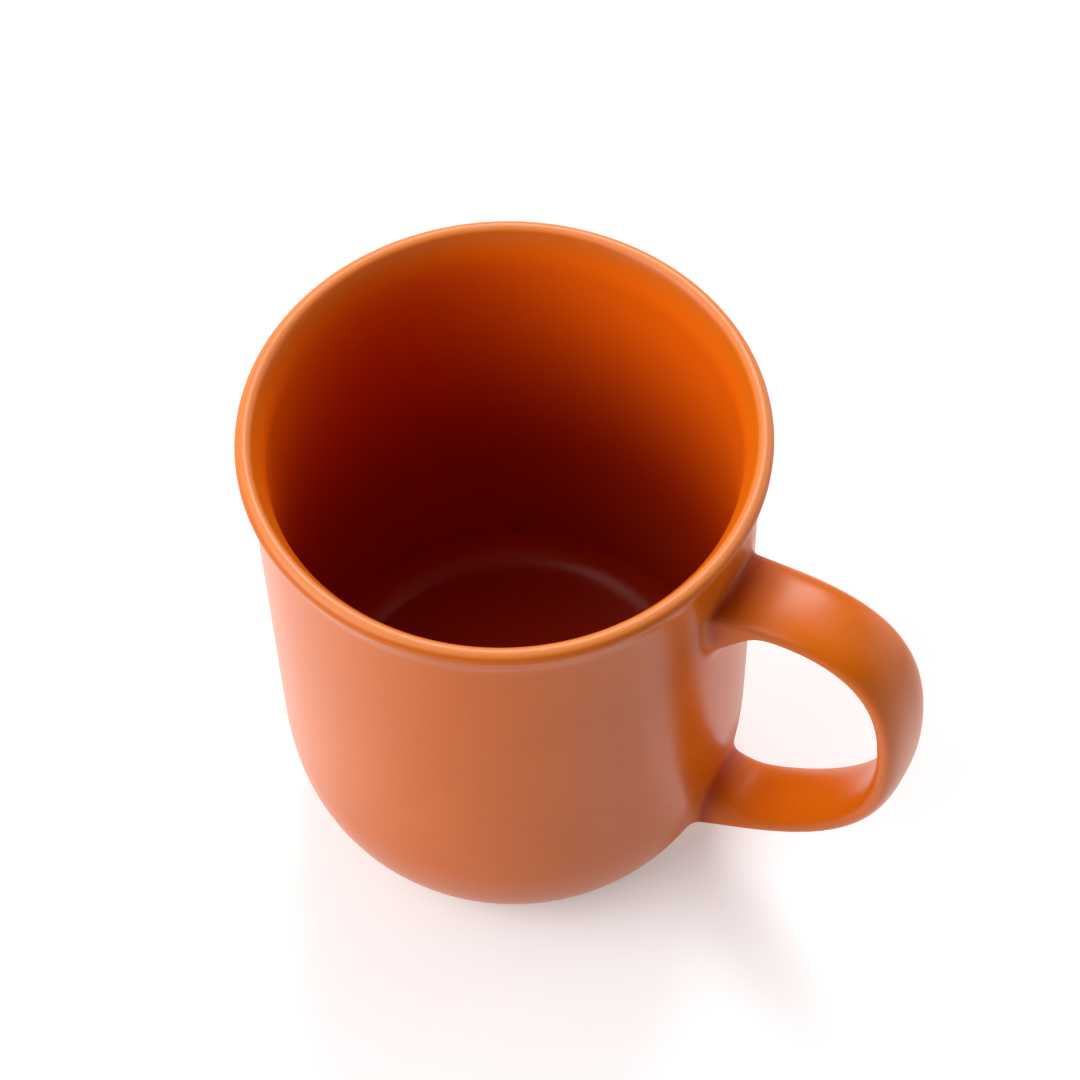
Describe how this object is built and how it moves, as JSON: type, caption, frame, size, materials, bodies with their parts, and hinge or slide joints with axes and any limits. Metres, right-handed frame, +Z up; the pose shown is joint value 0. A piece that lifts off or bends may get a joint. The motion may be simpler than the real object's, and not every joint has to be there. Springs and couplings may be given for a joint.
{
  "type": "mug",
  "caption": "Straight-sided glazed ceramic mug with a rounded lower body, a flared lip, a bare foot ring and a curved strap handle, for hot drinks.",
  "frame": {"origin": "middle of the foot ring, on the surface the mug stands on", "axes": "+Z up along the axis of the cup; +X towards the handle, which is symmetrical about the XZ plane"},
  "size_m": [0.1196, 0.087, 0.101],
  "materials": {
    "fired_clay": "matte, unglazed",
    "clay_slip": "matte, unglazed",
    "orange_glaze": "satin"
  },
  "bodies": {
    "root": {"cup_body": "fired_clay", "handle": "fired_clay", "upper_slip_joint": "clay_slip", "lower_slip_joint": "clay_slip", "inside_glaze": "orange_glaze", "outside_glaze": "orange_glaze", "handle_glaze": "orange_glaze", "base_glaze": "orange_glaze"}
  },
  "joints": []
}
